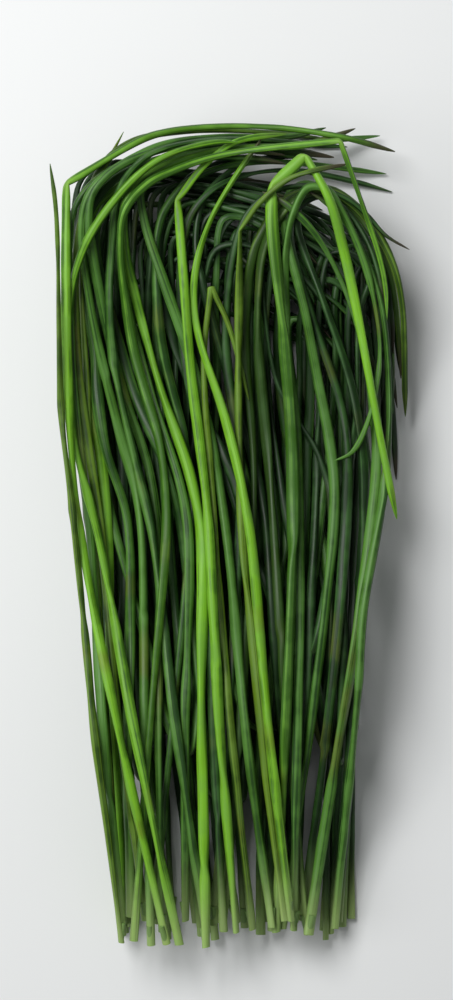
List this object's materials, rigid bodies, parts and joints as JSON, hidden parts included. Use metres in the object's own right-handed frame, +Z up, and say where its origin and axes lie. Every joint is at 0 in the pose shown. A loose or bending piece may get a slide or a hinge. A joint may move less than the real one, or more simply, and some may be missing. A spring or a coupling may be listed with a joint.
{
  "type": "chive bunch",
  "caption": "Bunch of cut chives lying down, its long tubular leaves fanning out from the cut ends and bending over to one side near their tips.",
  "frame": {"origin": "middle of the rectangle that the bunch covers, on the surface that it lies on", "axes": "+Y from the cut ends to the tips, +Z up from the surface, +X towards the side that the tips bend over to"},
  "size_m": [0.0892, 0.2058, 0.0343],
  "materials": {
    "leaf_bright": "fresh lime green leaf, waxy, with fine lengthwise lines",
    "leaf_olive": "olive green leaf, waxy, browner towards its tip",
    "leaf_mid": "mid green leaf, waxy, with a soft bloom",
    "leaf_deep": "deep blue-green leaf, waxy, with a soft bloom"
  },
  "bodies": {
    "root": {"shoot_under_01": "leaf_deep", "shoot_under_02": "leaf_deep", "shoot_under_03": "leaf_mid", "shoot_under_04": "leaf_deep", "shoot_under_05": "leaf_deep", "shoot_under_06": "leaf_mid", "shoot_under_07": "leaf_deep", "shoot_under_08": "leaf_deep", "shoot_under_09": "leaf_mid", "shoot_under_10": "leaf_deep", "shoot_under_11": "leaf_deep", "shoot_under_12": "leaf_mid", "shoot_under_13": "leaf_deep", "shoot_under_14": "leaf_deep", "shoot_under_15": "leaf_mid", "shoot_under_16": "leaf_deep", "shoot_under_17": "leaf_deep", "shoot_under_18": "leaf_mid", "shoot_under_19": "leaf_deep", "shoot_under_20": "leaf_deep", "shoot_under_21": "leaf_mid", "shoot_under_22": "leaf_deep", "shoot_under_23": "leaf_deep", "shoot_under_24": "leaf_mid", "shoot_under_25": "leaf_deep", "leaf_thin_dark": "leaf_deep", "leaf_inner_arc_right": "leaf_deep", "leaf_inner_arc_middle": "leaf_deep", "leaf_inner_arc_left": "leaf_mid", "leaf_right_dark_wide": "leaf_deep", "leaf_right_dark_falling": "leaf_deep", "leaf_right_middle": "leaf_mid", "leaf_outer_falling_short": "leaf_olive", "leaf_outer_falling_long": "leaf_olive", "leaf_right_flicked_tip": "leaf_deep", "leaf_right_edge_wide": "leaf_mid", "leaf_right_edge_thin": "leaf_mid", "leaf_curled_tip": "leaf_mid", "leaf_tip_right_low": "leaf_deep", "leaf_tip_right_middle": "leaf_mid", "leaf_folded_bright": "leaf_bright", "leaf_light_left": "leaf_bright", "leaf_left_wide": "leaf_mid", "leaf_green_beside_bright": "leaf_mid", "leaf_left_upright_tip": "leaf_olive", "leaf_top_band_inner": "leaf_olive", "leaf_left_high_arc": "leaf_mid", "leaf_arc_to_high_tip": "leaf_mid", "leaf_arc_to_long_tip": "leaf_mid", "leaf_slate_long": "leaf_mid", "leaf_middle_curve": "leaf_mid", "leaf_bright_slanting": "leaf_bright", "leaf_small_fold": "leaf_olive", "leaf_upright_folded": "leaf_olive", "leaf_yellow_slanting": "leaf_bright", "leaf_folded_middle": "leaf_bright", "leaf_hanging_right": "leaf_bright", "leaf_crossing_left": "leaf_bright", "leaf_top_band_outer": "leaf_bright", "leaf_left_stray": "leaf_olive"}
  },
  "joints": []
}
